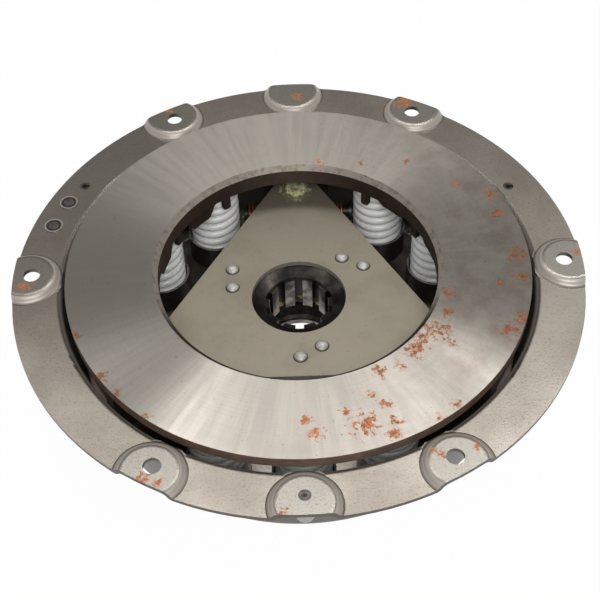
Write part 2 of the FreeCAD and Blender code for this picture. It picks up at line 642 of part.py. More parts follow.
def plate_bolt():
    """A hexagon bolt from the plate corner down into the bracket cap."""
    across_corners = PLATE_BOLT_FLATS / math.cos(math.pi / 6) / 2
    seat = PLATE_TOP + WASHER_THICK
    hexagon = [V(PLATE_BOLT_REACH + across_corners * math.cos(math.radians(60 * k)),
                 across_corners * math.sin(math.radians(60 * k)), seat) for k in range(7)]
    head = Part.Face(Part.makePolygon(hexagon)).extrude(V(0, 0, PLATE_BOLT_HEAD))
    length = WASHER_THICK + PLATE_THICK + BRACKET_CAP
    shank = rod(PLATE_BOLT_RADIUS, length, V(PLATE_BOLT_REACH, 0, seat - length))
    return head.fuse(shank).removeSplitter()


def plate_washer():
    """A plain washer under the bolt head."""
    at = V(PLATE_BOLT_REACH, 0, PLATE_TOP)
    return rod(WASHER_RADIUS, WASHER_THICK, at).cut(rod(PLATE_BOLT_RADIUS, WASHER_THICK, at))


def thrust_ring():
    """The stepped ring on the lever noses that the release bearing pushes."""
    step_z = THRUST_TOP - THRUST_STEP
    return turned([
        (THRUST_STEP_RADIUS, THRUST_TOP),
        (THRUST_OUTER_RADIUS, THRUST_TOP),
        (THRUST_OUTER_RADIUS, THRUST_BOTTOM),
        (THRUST_HOLE_RADIUS, THRUST_BOTTOM),
        (THRUST_HOLE_RADIUS, step_z),
        (THRUST_STEP_RADIUS, step_z),
    ])


def retainer():
    """A wire stirrup on the thrust ring that reaches over a lever nose."""
    wire = RETAINER_WIRE / 2
    aside = LEVER_WIDTH / 2 + RETAINER_GAP + wire
    reach = NOSE_REACH - wire
    high = THRUST_TOP + RETAINER_RISE
    legs = [rod(wire, RETAINER_RISE, V(reach, s * aside, THRUST_TOP)) for s in (-1, 1)]
    bar = rod(wire, 2 * aside, V(reach, -aside, high), ALONG)
    knuckles = [Part.makeSphere(wire, V(reach, s * aside, high)) for s in (-1, 1)]
    return fused(bar, legs + knuckles)


def balance_weight():
    """A curved strip riveted under the rim."""
    z = FLANGE_BOTTOM - WEIGHT_THICK
    spread = math.degrees(WEIGHT_MARGIN / WEIGHT_REACH)
    band = tube(WEIGHT_REACH + WEIGHT_MARGIN, WEIGHT_REACH - WEIGHT_MARGIN, z, FLANGE_BOTTOM)
    low, high = min(WEIGHT_AZIMUTHS) - spread, max(WEIGHT_AZIMUTHS) + spread
    far = 2 * RIM_RADIUS
    corners = [V(0, 0, z), spot(far, low, z), spot(far, high, z), V(0, 0, z)]
    wedge = Part.Face(Part.makePolygon(corners)).extrude(V(0, 0, WEIGHT_THICK))
    weight = band.common(wedge)
    holes = [rod(WEIGHT_RIVET_SHANK, WEIGHT_THICK, spot(WEIGHT_REACH, a, z))
             for a in WEIGHT_AZIMUTHS]
    return weight.cut(holes)


def weight_rivets():
    """Flat rivets through the rim and the balance weight."""
    bottom = FLANGE_BOTTOM - WEIGHT_THICK
    rivets = []
    for azimuth in WEIGHT_AZIMUTHS:
        at = spot(WEIGHT_REACH, azimuth, bottom)
        shank = rod(WEIGHT_RIVET_SHANK, WEIGHT_THICK + SHEET, at)
        head = rod(WEIGHT_RIVET_RADIUS, WEIGHT_RIVET_HEAD, spot(WEIGHT_REACH, azimuth, FLANGE_TOP))
        rivets.append(shank.fuse(head).removeSplitter())
    return rivets


def roll_pin_places(z):
    """Where the slit pins pass through the rim."""
    return [spot(BOLT_CIRCLE_RADIUS - inset, azimuth, z)
            for inset, azimuth in zip(ROLL_PIN_INSETS, ROLL_PIN_AZIMUTHS)]


def roll_pins():
    """Slit spring pins pressed through the rim."""
    pins = []
    slit = ROLL_PIN_RADIUS / 4
    for at in roll_pin_places(FLANGE_TOP - ROLL_PIN_LENGTH):
        pin = rod(ROLL_PIN_RADIUS, ROLL_PIN_LENGTH, at)
        bore = rod(ROLL_PIN_RADIUS / 2, ROLL_PIN_LENGTH, at)
        cut = block(at.x, at.x + 2 * ROLL_PIN_RADIUS, at.y - slit, at.y + slit, at.z, FLANGE_TOP)
        pins.append(pin.cut([bore, cut]))
    return pins


def dowel():
    """A pointed dowel through the front pad, with a collar under it."""
    azimuth = BARE_PAD_AZIMUTHS[0]
    tail = -SHEET - DOWEL_TAIL
    shank = rod(DOWEL_RADIUS, -tail, spot(DOWEL_REACH, azimuth, tail))
    collar = rod(DOWEL_COLLAR_RADIUS, DOWEL_TAIL, spot(DOWEL_REACH, azimuth, tail))
    point = Part.makeCone(DOWEL_RADIUS / 2, DOWEL_COLLAR_RADIUS, DOWEL_POINT,
                          spot(DOWEL_REACH, azimuth, tail - DOWEL_POINT))
    return fused(shank, [collar, point])


def save(name, shape):
    """Writes one sub-part."""
    shape.exportStep(os.path.join("parts", name + ".step"))
    solids = len(shape.Solids)
    print(f"{name}: {solids} solid(s), {shape.Volume / 1000:.1f} cm3, valid {shape.isValid()}")


def main():
    os.makedirs("parts", exist_ok=True)
    save("cover", cover())
    save("pressure_ring", pressure_ring())
    one_spring, one_cup = spring(), spring_cup()
    for number, azimuth in enumerate(spring_azimuths(), 1):
        place = spot(SPRING_CIRCLE_RADIUS, azimuth)
        for name, shape in (("pressure_spring", one_spring), ("spring_cup", one_cup)):
            copy = placed(shape, azimuth)
            copy.translate(place)
            save(f"{name}_{number}", copy)
    stations = {
        "release_lever": lever(),
        "lever_bracket": bracket(),
        "pivot_pin": pivot_pin(),
        "lug_pin": lug_pin(),
        "lever_coils": lever_coils(),
        "thrust_retainer": retainer(),
    }
    for name, shape in stations.items():
        for number, azimuth in enumerate(LEVER_AZIMUTHS, 1):
            save(f"{name}_{number}", placed(shape, azimuth))
    fasteners = {"pivot_clips": pin_clip(), "plate_bolts": plate_bolt(),
                 "plate_washers": plate_washer()}
    for name, shape in fasteners.items():
        save(name, Part.makeCompound([placed(shape, a) for a in LEVER_AZIMUTHS]))
    save("bracket_rivets", Part.makeCompound(foot_rivets()))
    save("drive_plate", drive_plate())
    save("drive_hub", hub())
    save("hub_rivets", Part.makeCompound(hub_rivets()))
    save("thrust_ring", thrust_ring())
    save("balance_weight", balance_weight())
    save("balance_rivets", Part.makeCompound(weight_rivets()))
    save("roll_pins", Part.makeCompound(roll_pins()))
    save("rim_dowel", dowel())


main()
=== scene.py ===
import math

import bmesh
import bpy
from mathutils import Matrix, Vector


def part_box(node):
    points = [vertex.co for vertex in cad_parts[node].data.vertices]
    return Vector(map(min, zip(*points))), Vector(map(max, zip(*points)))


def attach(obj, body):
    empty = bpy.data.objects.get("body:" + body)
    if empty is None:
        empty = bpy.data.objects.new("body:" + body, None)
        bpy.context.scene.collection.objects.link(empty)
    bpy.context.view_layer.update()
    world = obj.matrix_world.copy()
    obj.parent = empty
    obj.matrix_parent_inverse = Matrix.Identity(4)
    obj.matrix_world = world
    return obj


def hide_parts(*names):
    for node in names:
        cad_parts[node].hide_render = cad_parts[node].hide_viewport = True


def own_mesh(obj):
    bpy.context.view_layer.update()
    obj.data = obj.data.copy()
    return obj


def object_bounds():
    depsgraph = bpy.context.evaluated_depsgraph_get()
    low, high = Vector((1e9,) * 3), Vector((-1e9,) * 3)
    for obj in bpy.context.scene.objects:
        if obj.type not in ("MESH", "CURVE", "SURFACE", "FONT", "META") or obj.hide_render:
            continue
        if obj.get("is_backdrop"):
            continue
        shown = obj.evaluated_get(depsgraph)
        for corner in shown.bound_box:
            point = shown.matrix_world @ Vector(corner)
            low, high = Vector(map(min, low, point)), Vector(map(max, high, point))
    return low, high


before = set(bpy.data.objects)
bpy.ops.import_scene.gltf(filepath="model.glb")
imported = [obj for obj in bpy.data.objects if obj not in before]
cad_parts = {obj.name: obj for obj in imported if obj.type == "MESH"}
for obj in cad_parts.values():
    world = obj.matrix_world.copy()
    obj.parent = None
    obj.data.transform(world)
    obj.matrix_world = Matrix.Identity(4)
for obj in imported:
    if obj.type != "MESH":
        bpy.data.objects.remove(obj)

# The clutch's frame is in metres, with the origin in the plane of the bolt pads and +Z to the flywheel.
MM = 0.001

# The white floor
FLOOR_HALF = 60.0
FLOOR_GLOW = 0.97
FLOOR_PAPER = (0.86, 0.86, 0.86)
FLOOR_ROUGHNESS = 0.9

# The pressure springs: how many, the angle up to which they are shaded smooth, and how near points merge
SPRING_COUNT = 9
SMOOTH_UP_TO = math.radians(40.0)
SAME_PLACE = 0.001 * MM

# Camera, solved from the photograph
CAMERA_AT = Vector((0.000814, -0.599629, 0.656672))
CAMERA_TILT = 49.147
CAMERA_ROLL = -1.798
CAMERA_LENS = 73.73
SENSOR = 36.0

# Light levels and places: a wide box with a strip at each end makes the bright part of the turned face
SKY_LEVEL = 0.30
WHITE = (1.0, 1.0, 1.0, 1.0)
LAMPS = {
    "wide_box": {"at": (0.005, 0.46, 1.50), "size": (0.94, 0.36), "watts": 5.9},
    "left_strip": {"at": (-0.430, 0.48, 1.50), "size": (0.08, 0.10), "watts": 1.6},
    "right_strip": {"at": (0.440, 0.48, 1.50), "size": (0.09, 0.10), "watts": 1.4},
    "left_box": {"at": (-0.80, 0.66, 1.35), "size": (0.30, 0.20), "watts": 0.8},
    "right_box": {"at": (0.68, 0.62, 1.42), "size": (0.40, 0.20), "watts": 2.8},
    "front_box": {"at": (0.10, -0.95, 1.05), "size": (1.10, 0.50), "watts": 10.8},
}
LAMP_TARGET = Vector((0.0, 0.0, -0.02))

# Finishes, as linear colours
COVER_STEEL = (0.345, 0.312, 0.268)
COVER_DARK = (0.265, 0.235, 0.198)
COVER_EDGE_AND_SHADE = (0.090, 0.080, 0.068)
COVER_SLOPE = (0.460, 0.415, 0.365)
COVER_FOOT_SHADE = (0.085, 0.070, 0.058)
PAD_STEEL = (0.305, 0.285, 0.253)
FACE_STEEL = (0.480, 0.440, 0.390)
FACE_DARK = (0.350, 0.320, 0.282)
FACE_STAIN = (0.260, 0.205, 0.160)
FACE_PAINTED_SHADE = (0.300, 0.276, 0.238)
CAST_BROWN = (0.170, 0.102, 0.068)
CAST_DARK = (0.045, 0.034, 0.027)
CHAMFER_STEEL = (0.420, 0.375, 0.325)
CHAMFER_STAIN = (0.290, 0.250, 0.210)
PLATE_STEEL = (0.290, 0.255, 0.195)
PLATE_STAIN = (0.240, 0.208, 0.155)
PLATE_EDGE = (0.520, 0.490, 0.430)
RUST_LIGHT = (0.600, 0.240, 0.095)
RUST_DARK = (0.330, 0.125, 0.055)
PIT_BROWN = (0.060, 0.045, 0.035)
ENAMEL = (0.910, 0.910, 0.885)
ENAMEL_DIRT = (0.480, 0.475, 0.430)
CUP_BLACK = (0.010, 0.010, 0.010)
CUP_RIM = (0.230, 0.225, 0.210)
FORGED_BLACK = (0.020, 0.017, 0.015)
COPPER = (0.400, 0.180, 0.100)
RIVET_STEEL = (0.540, 0.510, 0.470)
RIVET_SHADOW = (0.060, 0.052, 0.045)
OILY_STEEL = (0.036, 0.031, 0.026)
OILY_DARK = (0.010, 0.009, 0.008)
OIL_AMBER = (0.220, 0.150, 0.055)
SPLINE_STEEL = (0.330, 0.305, 0.280)
PAINT_MARK = (0.720, 0.740, 0.420)
PIN_STEEL = (0.055, 0.048, 0.042)
SLUG_STEEL = (0.120, 0.112, 0.104)

# The heights of a pad's top and foot on the cover, and how far up the painted shade at its foot goes
PAD_TOP_Z = -0.5 * MM
PAD_FOOT_Z = -4.8 * MM
PAD_FOOT_HIGH = 1.4 * MM

# How level a surface is, from 1 when flat to 0 when upright: between these a sheet's cut edge begins
CUT_EDGE = (0.45, 0.10)

# The height of the ring's face, the height below which all of the ring is rough, the radius outside which
# its sides are browner, and how far each change takes
RING_FACE_Z = 3.2 * MM
RING_LOW_Z = -5.2 * MM
RING_OUTSIDE = 160.0 * MM
RING_BLEND = 1.0 * MM

# The paint on the back bolt and round it: radius in mm, azimuth in degrees, and size in mm
PAINT_SPOT = (116.0, 180.0, 11.0)
PAINT_Z = -31.0 * MM
PAINTED_BOLT_Y = (80.0 * MM, 90.0 * MM)

# The balance rivets' heads and the dowel's end, given as rust patches are, with a groove and a rim on each
RIVET_HEADS = ((190.9, 253.6, 6.8), (190.9, 245.8, 6.8))
RIVET_HEAD_Z = -4.0 * MM
RIVET_GROOVE = (0.62, 0.72)
RIVET_RIM = (0.84, 0.92)
DOWEL_END = ((192.0, 0.0, 4.2),)
DOWEL_DIMPLE = (0.0, 0.30)
DOWEL_RIM = (0.99, 1.20)

# The cover and the friction face are painted darker towards the left and the back, a painted shade, and the
# face stained to the right
PAINTED_SHADE_LEFT = (-50.0 * MM, -150.0 * MM)
PAINTED_SHADE_BACK = (-90.0 * MM, -10.0 * MM)
STAINED_RIGHT = (30.0 * MM, 140.0 * MM)

# How far up the splines the grease reaches, and the radii between which the tooth tips are painted lighter as
# a painted highlight
GREASE_HEIGHT = 9.0 * MM
TOOTH_TIP_HIGHLIGHT = (22.05 * MM, 22.30 * MM)

# The worn edge of a spring cup, and where the ring's chamfer is painted dark towards the front, a painted
# shade along the bore's front edge
CUP_EDGE = 0.9 * MM
PAINTED_SHADE_CHAMFER = (-20.0 * MM, -60.0 * MM)

# Rust patches: radius in mm, azimuth in degrees from the front towards +X, and size in mm
FACE_RUST = (
    (116, 55, 7), (108, 54, 4), (111, 48, 6), (113, 43, 6), (115, 64, 4), (129, 53, 3), (109, 73, 5),
    (117, 35, 4), (111, 28, 5), (148, 16, 8), (162, 21, 5), (152, 23, 4), (138, 23, 4), (148, 3, 5),
    (138, 1, 4), (134, 12, 3), (164, 38, 4), (166, 33, 4), (127, 21, 3), (161, 114, 5), (157, 107, 5),
    (145, 122, 4), (135, 140, 3), (158, 91, 6), (160, 83, 5), (146, 80, 3), (159, 65, 6), (165, 70, 5),
    (108, 170, 3), (117, 154, 3), (166, -54, 4), (165, -48, 3), (165, -69, 3), (165, -38, 3),
)
COVER_RUST = (
    (197, -87, 5), (190, 179, 5), (201, 153, 8), (194, 157, 5), (204, -30, 5), (202, -27, 3), (204, -4, 4),
    (181, 27, 3), (187, 28, 3), (194, 35, 3), (203, 92, 4), (186, 118, 4), (204, 210, 4),
)

# A place further than this many patch sizes from every patch counts as no further
OUT_OF_REACH = 9.0

# The looks below name three kinds of value. A pattern is its waves in a metre, octaves and roughness. A tone
# says from which to which value of a pattern or place a colour comes in, and how strong it is at each end.
# A bump is its strength and its depth.
RUST = {
    "grain": (250.0, 6.0, 0.80),
    "grain_size": 9.0,
    "edge": (5.36, 4.96),
    "mottle": (520.0, 3.0, 0.55),
    "mottle_tone": (0.35, 0.60),
    "strength": 0.9,
    "roughness": 0.3,
}
COVER = {
    "cloud": (16.0, 6.0, 0.62),
    "cloud_tone": (0.34, 0.66),
    "cloud_height": 0.6,
    "speck": (620.0, 3.0, 0.60),
    "speck_tone": (0.54, 0.70, 0.0, 0.45),
    "scratch": (1.0, 3.0, 0.60),
    "scratch_stretch": (900.0, 60.0, 60.0),
    "scratch_tone": (0.40, 0.65, 0.0, 0.50),
    "painted_shade_most": 0.42,
    "slope": (0.97, 0.85),
    "foot": (0.995, 0.960),
    "foot_shade_strength": 0.75,
    "bump": (0.16, 0.5 * MM),
    "roughness": (0.3, 0.7, 0.40, 0.36),
    "metallic": (0.0, 1.0, 0.92, 0.30),
}
RING = {
    "grooves": (1.0, 2.0, 0.50),
    "groove_place": (1.0, 1900.0),
    "groove_tone": (0.40, 0.60, 0.0, 0.22),
    "streaks": (1.0, 5.0, 0.62),
    "streak_place": (24.0, 14.0),
    "streak_tone": (0.36, 0.64, 0.0, 0.40),
    "streak_roughness": (0.36, 0.64, -0.03, 0.03),
    "cloud": (21.0, 6.0, 0.66),
    "cloud_tone": (0.46, 0.72, 0.0, 0.45),
    "painted_shade_most": 0.55,
    "stain": (36.0, 6.0, 0.70),
    "stain_tone": (0.38, 0.66),
    "stain_strength": (0.0, 0.55),
    "pits": (430.0, 2.0, 0.60),
    "pit_tone": (0.70, 0.76, 0.0, 0.60),
    "chamfer": (240.0, 5.0, 0.55),
    "chamfer_tone": (0.45, 0.68),
    "side": (130.0, 5.0, 0.55),
    "side_tone": (0.34, 0.66, 0.45, 1.0),
    "outside_strength": (0.25, 0.90),
    "grain": (500.0, 3.0, 0.55),
    "chamfer_level": (0.30, 0.60),
    "face_level": (0.88, 0.96),
    "side_level": (0.60, 0.30),
    "bump": (0.10, 0.3 * MM),
    "roughness": (0.0, 1.0, 0.70, 0.32),
    "metallic": (0.0, 1.0, 0.90, 0.20),
    "anisotropic": 0.9,
    "turn": 0.25,
}
PLATE = {
    "cloud": (22.0, 5.0, 0.60),
    "cloud_tone": (0.40, 0.66, 0.0, 0.80),
    "speck": (700.0, 2.0, 0.55),
    "speck_tone": (0.68, 0.74, 0.0, 0.50),
    "grain": (900.0, 2.0, 0.50),
    "splash": (300.0, 4.0, 0.70),
    "splash_size": 6.0,
    "splash_tone": (3.9, 3.5, 0.0, 0.85),
    "bump": (0.08, 0.2 * MM),
    "roughness": (0.3, 0.7, 0.46, 0.54),
    "metallic": 0.60,
}
SPRING = {
    "dirt": (120.0, 5.0, 0.65),
    "dirt_tone": (0.56, 0.80, 0.0, 0.70),
    "grain": (260.0, 2.0, 0.55),
    "bump": (0.06, 0.5 * MM),
    "roughness": 0.32,
    "coat": 0.5,
    "coat_roughness": 0.12,
}
PLAIN = {
    "octaves": (4.0, 0.60),
    "tone": (0.35, 0.70),
    "grain_finer": 6,
    "grain_octaves": (2.0, 0.50),
    "grain_range": (0.3, 0.7),
    "roughness_swing": 0.06,
    "bump": (0.12, 0.4 * MM),
}
BOLT = {
    "cloud": (180.0, 4.0, 0.55),
    "splash": (330.0, 4.0, 0.70),
    "splash_tone": (0.43, 0.48),
    "metallic": 0.4,
    "roughness": 0.45,
}
HEAD = {
    "cloud": (300.0, 4.0, 0.60),
    "tone": (0.35, 0.70),
    "groove_blend": 0.06,
    "groove_strength": 0.8,
    "groove_depth": 2.0,
    "rim_strength": (0.0, 0.70),
    "bump": (0.40, 0.4 * MM),
    "metallic": 0.7,
    "roughness": 0.42,
}
HUB = {
    "cloud": (70.0, 4.0, 0.60),
    "tone": (0.35, 0.65),
    "tip_highlight_strength": (0.40, 0.60, 0.2, 0.9),
    "grease": (190.0, 3.0, 0.60),
    "grease_tone": (0.50, 0.58, 0.0, 0.80),
    "grain": (260.0, 3.0, 0.50),
    "bump": (0.10, 0.4 * MM),
    "roughness": (0.3, 0.7, 0.36, 0.26),
    "metallic": 0.8,
    "specular": 0.2,
}
CUP = {
    "cloud": (150.0, 4.0, 0.60),
    "tone": (0.35, 0.70),
    "wear": (200.0, 4.0, 0.60),
    "wear_tone": (0.35, 0.55, 0.3, 1.0),
    "bump": (0.12, 0.4 * MM),
    "roughness": (0.3, 0.7, 0.30, 0.42),
}
DOME = {
    "cloud": (300.0, 4.0, 0.60),
    "tone": (0.35, 0.70, 0.0, 0.40),
    "shadow_level": (0.80, 0.60),
    "bump": (0.15, 0.4 * MM),
    "metallic": 0.45,
    "roughness": 0.5,
}

# Plain metals: bright tone, dark tone, how metallic, how rough, and waves in a metre
PLAIN_METALS = {
    "rivet_dark_steel": (SLUG_STEEL, PIN_STEEL, 0.70, 0.42, 300.0),
    "forged_black_iron": (FORGED_BLACK, CUP_BLACK, 0.30, 0.60, 150.0),
    "pin_dark_steel": (PIN_STEEL, FORGED_BLACK, 0.70, 0.40, 150.0),
    "ring_machined_steel": (SPLINE_STEEL, SLUG_STEEL, 0.85, 0.34, 60.0),
    "copper_wire": (COPPER, RUST_DARK, 0.80, 0.35, 150.0),
}


class Finish:
    """A node-built material, with one short method for each kind of node that it uses."""

    def __init__(self, name):
        self.material = bpy.data.materials.new(name)
        self.material.use_nodes = True
        self.tree = self.material.node_tree
        self.shader = self.tree.nodes["Principled BSDF"]
        self.place = self.add("ShaderNodeTexCoord").outputs["Object"]

    def add(self, kind, **settings):
        node = self.tree.nodes.new(kind)
        for key, value in settings.items():
            setattr(node, key, value)
        return node

    def put(self, socket, value):
        """Links a socket to an output, or sets it to a plain value."""
        if isinstance(value, bpy.types.NodeSocket):
            self.tree.links.new(value, socket)
        elif isinstance(value, tuple) and len(value) == 3 and socket.type == "RGBA":
            socket.default_value = (*value, 1.0)
        else:
            socket.default_value = value

    def calc(self, operation, a, b=0.0, clamp=False):
        node = self.add("ShaderNodeMath", operation=operation, use_clamp=clamp)
        self.put(node.inputs[0], a)
        self.put(node.inputs[1], b)
        return node.outputs[0]

    def times(self, a, b):
        return self.calc("MULTIPLY", a, b)

    def plus(self, a, b):
        return self.calc("ADD", a, b)

    def span(self, value, low, high, start=0.0, end=1.0):
        """Turns a range of values into another, smoothly and without passing its ends."""
        node = self.add("ShaderNodeMapRange", interpolation_type="SMOOTHSTEP")
        self.put(node.inputs["Value"], value)
        self.put(node.inputs["From Min"], low)
        self.put(node.inputs["From Max"], high)
        self.put(node.inputs["To Min"], start)
        self.put(node.inputs["To Max"], end)
        return node.outputs["Result"]

    def mix(self, share, a, b):
        node = self.add("ShaderNodeMixRGB")
        self.put(node.inputs[0], share)
        self.put(node.inputs[1], a)
        self.put(node.inputs[2], b)
        return node.outputs[0]

    def noise(self, scale, detail, roughness, place=None):
        node = self.add("ShaderNodeTexNoise")
        self.put(node.inputs["Vector"], place or self.place)
        self.put(node.inputs["Scale"], scale)
        self.put(node.inputs["Detail"], detail)
        self.put(node.inputs["Roughness"], roughness)
        return node.outputs["Fac"]

    def stretched(self, x, y, z):
        """The object's place with each axis scaled."""
        node = self.add("ShaderNodeMapping")
        self.put(node.inputs["Vector"], self.place)
        self.put(node.inputs["Scale"], Vector((x, y, z)))
        return node.outputs["Vector"]

    def xyz(self, vector=None):
        node = self.add("ShaderNodeSeparateXYZ")
        self.put(node.inputs[0], vector or self.place)
        return node.outputs

    def polar(self, around, out):
        """Direction and distance from the axis as a place, for marks on a turned face."""
        x, y = self.xyz()[:2]
        radius = self.radius()
        node = self.add("ShaderNodeCombineXYZ")
        self.put(node.inputs[0], self.times(self.calc("DIVIDE", x, radius), around))
        self.put(node.inputs[1], self.times(self.calc("DIVIDE", y, radius), around))
        self.put(node.inputs[2], self.times(radius, out))
        return node.outputs[0]

    def radius(self):
        """The distance from the axis."""
        x, y = self.xyz()[:2]
        return self.calc("SQRT", self.plus(self.times(x, x), self.times(y, y)))

    def near(self, spots, height):
        """How near the place is to any of some spots, in spot sizes: under 1 is inside one."""
        closest = OUT_OF_REACH
        for radius, azimuth, size in spots:
            turn = math.radians(azimuth)
            node = self.add("ShaderNodeVectorMath", operation="DISTANCE")
            self.put(node.inputs[0], self.place)
            at = Vector((radius * MM * math.sin(turn), -radius * MM * math.cos(turn), height))
            node.inputs[1].default_value = at
            share = self.calc("DIVIDE", node.outputs["Value"], size * MM)
            closest = self.calc("MINIMUM", closest, share)
        return closest

    def bump(self, height, strength, depth):
        node = self.add("ShaderNodeBump")
        self.put(node.inputs["Height"], height)
        node.inputs["Strength"].default_value = strength
        node.inputs["Distance"].default_value = depth
        self.put(self.shader.inputs["Normal"], node.outputs["Normal"])

    def normal_up(self):
        node = self.add("ShaderNodeNewGeometry")
        return self.xyz(node.outputs["True Normal"])[2]

    def set(self, **values):
        names = {"colour": "Base Color", "metallic": "Metallic", "roughness": "Roughness",
                 "coat": "Coat Weight", "coat_roughness": "Coat Roughness",
                 "anisotropic": "Anisotropic", "turn": "Anisotropic Rotation",
                 "specular": "Specular IOR Level"}
        for key, value in values.items():
            self.put(self.shader.inputs[names[key]], value)
        return self.material


def rust(finish, base, spots, height):
    """Adds ragged rust patches to a colour. Returns the colour and the rust's share."""
    grain = finish.times(finish.noise(*RUST["grain"]), RUST["grain_size"])
    share = finish.span(finish.plus(grain, finish.near(spots, height)), *RUST["edge"])
    mottle = finish.span(finish.noise(*RUST["mottle"]), *RUST["mottle_tone"])
    tone = finish.mix(mottle, RUST_DARK, RUST_LIGHT)
    return finish.mix(finish.times(share, RUST["strength"]), base, tone), share


def painted_shade_share(finish, most):
    """How much painted shade a surface gets: nothing at the front and right, and rising to the given share at
    the left and the back.
    """
    x, y = finish.xyz()[:2]
    return finish.times(finish.span(x, *PAINTED_SHADE_LEFT, 0.0, most), finish.span(y, *PAINTED_SHADE_BACK))


def cover_finish():
    """Pressed steel: satin, a little brown, with fine specks, dark edges, pale pads and rust, and with
    painted shade at the pads' feet and towards the left and the back.
    """
    f = Finish("cover_pressed_steel")
    look = COVER
    cloud = f.noise(*look["cloud"])
    speck = f.noise(*look["speck"])
    scratch = f.noise(*look["scratch"], f.stretched(*look["scratch_stretch"]))
    height = f.xyz()[2]
    colour = f.mix(f.span(cloud, *look["cloud_tone"]), COVER_DARK, COVER_STEEL)
    pad = f.mix(f.span(scratch, *look["scratch_tone"]), PAD_STEEL, COVER_STEEL)
    colour = f.mix(f.span(height, PAD_TOP_Z, 0.0), colour, pad)
    # Painted shade: the cover is painted darker towards the left and the back
    colour = f.mix(painted_shade_share(f, look["painted_shade_most"]), colour, COVER_EDGE_AND_SHADE)
    colour = f.mix(f.span(speck, *look["speck_tone"]), colour, COVER_EDGE_AND_SHADE)
    colour, share = rust(f, colour, COVER_RUST, 0.0)
    level = f.calc("ABSOLUTE", f.normal_up())
    slope = f.span(level, *look["slope"])
    # Painted shade: the crease at each pad's foot is painted dark
    low = f.span(height, PAD_FOOT_Z + PAD_FOOT_HIGH, PAD_FOOT_Z)
    foot = f.times(f.span(level, *look["foot"]), low)
    colour = f.mix(slope, colour, COVER_SLOPE)
    colour = f.mix(f.times(foot, look["foot_shade_strength"]), colour, COVER_FOOT_SHADE)
    colour = f.mix(f.span(level, *CUT_EDGE), colour, COVER_EDGE_AND_SHADE)
    f.bump(f.plus(f.times(cloud, look["cloud_height"]), speck), *look["bump"])
    rough = f.plus(f.times(share, RUST["roughness"]), f.span(cloud, *look["roughness"]))
    return f.set(colour=colour, metallic=f.span(slope, *look["metallic"]), roughness=rough)


def ring_face(f, grooves, streaks):
    """The turned face's colour, and its rust's share."""
    look = RING
    colour = f.mix(f.span(streaks, *look["streak_tone"]), FACE_STEEL, FACE_DARK)
    colour = f.mix(f.span(grooves, *look["groove_tone"]), colour, FACE_DARK)
    colour = f.mix(f.span(f.noise(*look["cloud"]), *look["cloud_tone"]), colour, FACE_DARK)
    # Painted shade: the turned face is painted darker towards the left and the back
    colour = f.mix(painted_shade_share(f, look["painted_shade_most"]), colour, FACE_PAINTED_SHADE)
    rightward = f.span(f.xyz()[0], *STAINED_RIGHT, *look["stain_strength"])
    stain = f.times(rightward, f.span(f.noise(*look["stain"]), *look["stain_tone"]))
    colour = f.mix(stain, colour, FACE_STAIN)
    colour = f.mix(f.span(f.noise(*look["pits"]), *look["pit_tone"]), colour, PIT_BROWN)
    return rust(f, colour, FACE_RUST, RING_FACE_Z)


def ring_finish():
    """Cast iron: the face turned in fine circles and painted darker towards the left and the back as painted
    shade, the chamfer bright but painted dark towards the front as painted shade, the sides rough and brown.
    """
    f = Finish("ring_cast_iron")
    look = RING
    grooves = f.noise(*look["grooves"], f.polar(*look["groove_place"]))
    streaks = f.noise(*look["streaks"], f.polar(*look["streak_place"]))
    face, share = ring_face(f, grooves, streaks)
    chamfer_stain = f.span(f.noise(*look["chamfer"]), *look["chamfer_tone"])
    chamfer = f.mix(chamfer_stain, CHAMFER_STEEL, CHAMFER_STAIN)
    # Painted shade: the chamfer turns dark towards the front, for the shadow in the gap below the bore's
    # front edge
    chamfer = f.mix(f.span(f.xyz()[1], *PAINTED_SHADE_CHAMFER), chamfer, CAST_DARK)
    outside = f.span(f.radius(), RING_OUTSIDE, RING_OUTSIDE + RING_BLEND, *look["outside_strength"])
    mottle = f.span(f.noise(*look["side"]), *look["side_tone"])
    side = f.mix(f.times(mottle, outside), CAST_DARK, CAST_BROWN)
    up = f.normal_up()
    is_chamfer = f.span(up, *look["chamfer_level"])
    is_face = f.span(up, *look["face_level"])
    is_side = f.times(f.span(up, *look["side_level"]), outside)
    is_high = f.span(f.xyz()[2], RING_LOW_Z, RING_LOW_Z + RING_BLEND)
    colour = f.mix(f.times(is_chamfer, is_high), side, chamfer)
    colour = f.mix(f.times(is_face, is_high), colour, face)
    streak = f.times(f.span(streaks, *look["streak_roughness"]), is_face)
    rough = f.plus(f.span(is_face, *look["roughness"]), streak)
    rough = f.plus(rough, f.times(share, RUST["roughness"]))
    f.bump(f.plus(f.times(grooves, is_face), f.noise(*look["grain"])), *look["bump"])
    tangent = f.add("ShaderNodeTangent", direction_type="RADIAL", axis="Z")
    f.put(f.shader.inputs["Tangent"], tangent.outputs[0])
    return f.set(colour=colour, metallic=f.span(is_side, *look["metallic"]), roughness=rough,
                 anisotropic=look["anisotropic"], turn=look["turn"])


